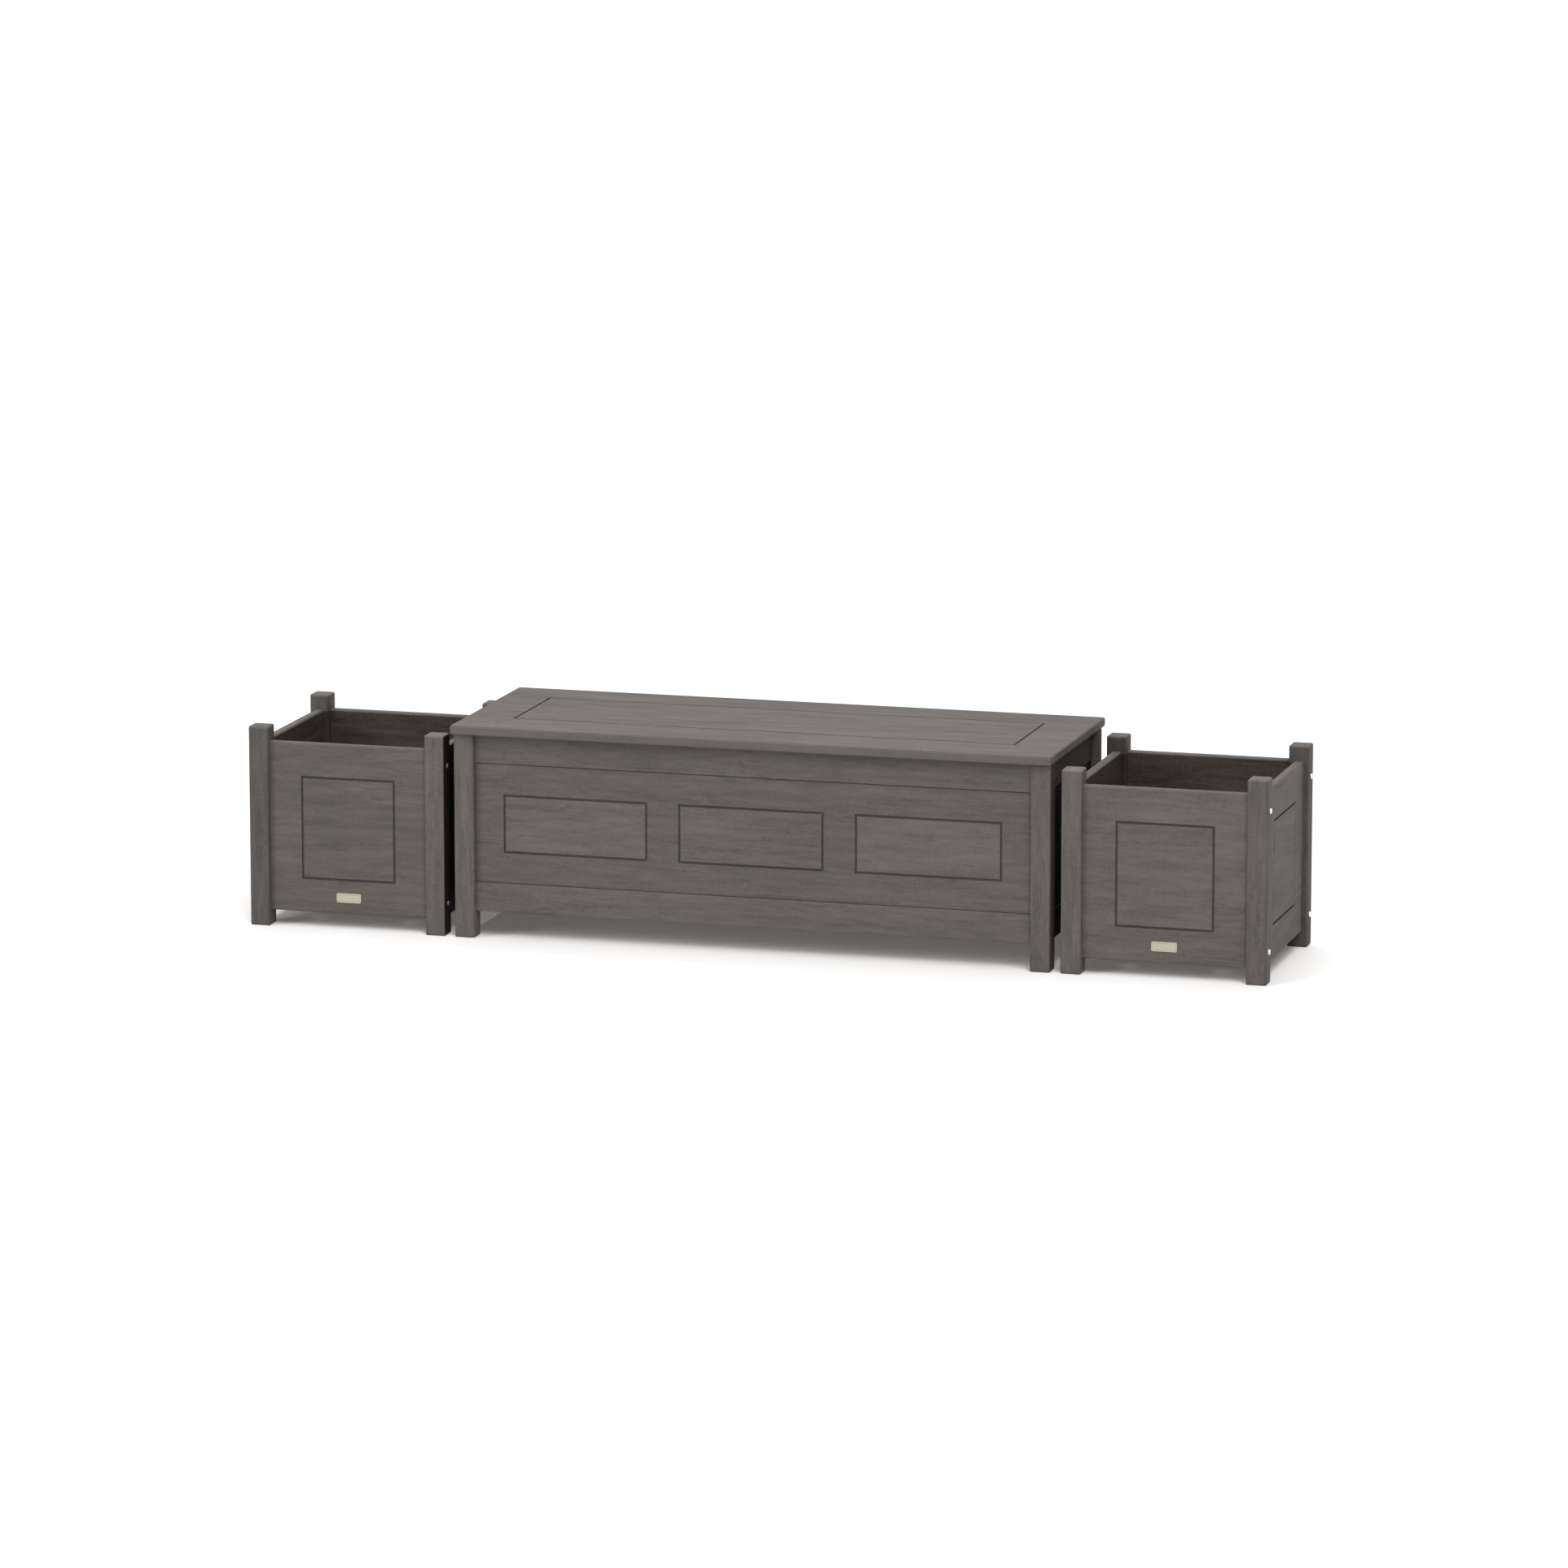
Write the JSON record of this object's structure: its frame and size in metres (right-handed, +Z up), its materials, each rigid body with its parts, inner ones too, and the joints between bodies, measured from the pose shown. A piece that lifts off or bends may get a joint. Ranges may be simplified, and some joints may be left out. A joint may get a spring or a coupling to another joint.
{
  "type": "bench with planter",
  "caption": "Long timber storage bench with a hinged seat lid and slotted lid stays, with an open square planter box standing at each end.",
  "frame": {"origin": "on the floor, under the middle of the seat lid", "axes": "+X along the bench to its right-hand end, +Y from its front to its back, +Z up"},
  "size_m": [2.0354, 0.435, 0.42],
  "materials": {
    "timber": "grey-brown weathered stain, matt, with a fine grain",
    "bolt_steel": "bright zinc-plated steel",
    "hinge_steel": "satin zinc-plated steel",
    "plate_metal": "satin, pale champagne anodised, bare"
  },
  "bodies": {
    "base": {"chest_floor_cleat_back": "timber", "chest_floor_cleat_front": "timber", "chest_floor_slats": "timber", "chest_leg_back_left": "timber", "chest_leg_back_right": "timber", "chest_leg_front_left": "timber", "chest_leg_front_right": "timber", "chest_panel_back": "timber", "chest_panel_front": "timber", "chest_panel_left": "timber", "chest_panel_right": "timber", "chest_rail_back_bottom": "timber", "chest_rail_back_top": "timber", "chest_rail_front_bottom": "timber", "chest_rail_front_top": "timber", "chest_rail_left_bottom": "timber", "chest_rail_left_top": "timber", "chest_rail_right_bottom": "timber", "chest_rail_right_top": "timber", "hinge_leaf_fixed_left": "hinge_steel", "hinge_leaf_fixed_right": "hinge_steel", "hinge_pin_left": "hinge_steel", "hinge_pin_right": "hinge_steel", "left_planter_floor": "timber", "left_planter_floor_cleat_back": "timber", "left_planter_floor_cleat_front": "timber", "left_planter_name_plate": "plate_metal", "left_planter_panel_back": "timber", "left_planter_panel_front": "timber", "left_planter_panel_left": "timber", "left_planter_panel_right": "timber", "left_planter_post_back_left": "timber", "left_planter_post_back_right": "timber", "left_planter_post_front_left": "timber", "left_planter_post_front_right": "timber", "lid_stay_stud_left": "hinge_steel", "lid_stay_stud_right": "hinge_steel", "planter_barrel_nuts": "bolt_steel", "planter_bolts": "bolt_steel", "right_planter_floor": "timber", "right_planter_floor_cleat_back": "timber", "right_planter_floor_cleat_front": "timber", "right_planter_name_plate": "plate_metal", "right_planter_panel_back": "timber", "right_planter_panel_front": "timber", "right_planter_panel_left": "timber", "right_planter_panel_right": "timber", "right_planter_post_back_left": "timber", "right_planter_post_back_right": "timber", "right_planter_post_front_left": "timber", "right_planter_post_front_right": "timber"},
    "lid": {"hinge_leaf_lid_left": "hinge_steel", "hinge_leaf_lid_right": "hinge_steel", "lid_batten_left": "timber", "lid_batten_right": "timber", "lid_board": "timber", "lid_stay_bracket_left": "hinge_steel", "lid_stay_bracket_right": "hinge_steel"},
    "stay_left": {"lid_stay_arm_left": "hinge_steel"},
    "stay_right": {"lid_stay_arm_right": "hinge_steel"}
  },
  "joints": [
    {"name": "lid_hinge", "type": "hinge", "parent": "base", "child": "lid", "pos_m": [0, 0.2085, 0.402], "axis": [-1, 0, 0], "range_deg": [0, 95]},
    {"name": "stay_left_pivot", "type": "hinge", "parent": "lid", "child": "stay_left", "pos_m": [-0.5595, 0.0585, 0.386], "axis": [-1, 0, 0], "range_deg": [-47.5, 0]},
    {"name": "stay_right_pivot", "type": "hinge", "parent": "lid", "child": "stay_right", "pos_m": [0.5595, 0.0585, 0.386], "axis": [-1, 0, 0], "range_deg": [-47.5, 0]}
  ],
  "couplings": [
    {"joint": "stay_left_pivot", "follows": "lid_hinge", "ratio": -0.5},
    {"joint": "stay_right_pivot", "follows": "lid_hinge", "ratio": -0.5}
  ]
}
